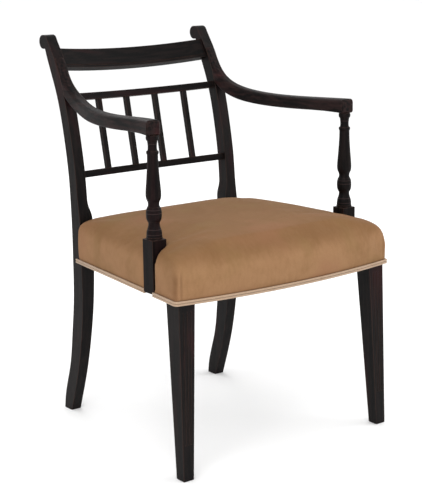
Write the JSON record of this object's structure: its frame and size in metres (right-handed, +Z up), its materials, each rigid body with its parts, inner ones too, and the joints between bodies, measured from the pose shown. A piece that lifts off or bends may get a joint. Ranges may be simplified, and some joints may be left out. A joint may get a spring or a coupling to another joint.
{
  "type": "armchair",
  "caption": "Open armchair with scrolled back uprights, bowed crest rail, barred lattice back, swept arms on turned supports, tapered front legs and a domed velvet seat.",
  "frame": {"origin": "centre of the bounding box in plan, on the floor under the feet", "axes": "+X across the chair to the sitter's left, +Y from the seat's front to the scrolls at the back, +Z up"},
  "size_m": [0.5618, 0.6099, 0.84],
  "materials": {
    "mahogany": "dark brown polish, worn at the edges",
    "beech": "raw",
    "velvet": "short worn pile, caramel",
    "cord": "woven cord, pale caramel",
    "stuffing": "curled hair under linen",
    "webbing": "herringbone weave",
    "hessian": "open plain weave",
    "lining": "black cotton",
    "steel": "blued"
  },
  "bodies": {
    "root": {"back_upright_left": "mahogany", "back_upright_right": "mahogany", "crest_rail": "mahogany", "lattice_top_rail": "mahogany", "lattice_bottom_rail": "mahogany", "lattice_bar_1": "mahogany", "lattice_bar_2": "mahogany", "lattice_bar_3": "mahogany", "lattice_bar_4": "mahogany", "arm_left": "mahogany", "arm_right": "mahogany", "arm_support_left": "mahogany", "arm_support_right": "mahogany", "front_leg_left": "mahogany", "front_leg_right": "mahogany", "front_seat_rail": "beech", "rear_seat_rail": "beech", "side_seat_rail_left": "beech", "side_seat_rail_right": "beech", "corner_block_front_left": "beech", "corner_block_front_right": "beech", "corner_block_rear_left": "beech", "corner_block_rear_right": "beech", "webbing_front_to_back": "webbing", "webbing_side_to_side": "webbing", "hessian_cloth": "hessian", "seat_stuffing": "stuffing", "seat_cover": "velvet", "double_piping": "cord", "bottom_cloth": "lining", "webbing_tacks": "steel", "bottom_cloth_tacks": "steel", "corner_block_screws": "steel", "arm_support_screws": "steel", "arm_screws": "steel", "arm_screw_plugs": "mahogany"}
  },
  "joints": []
}
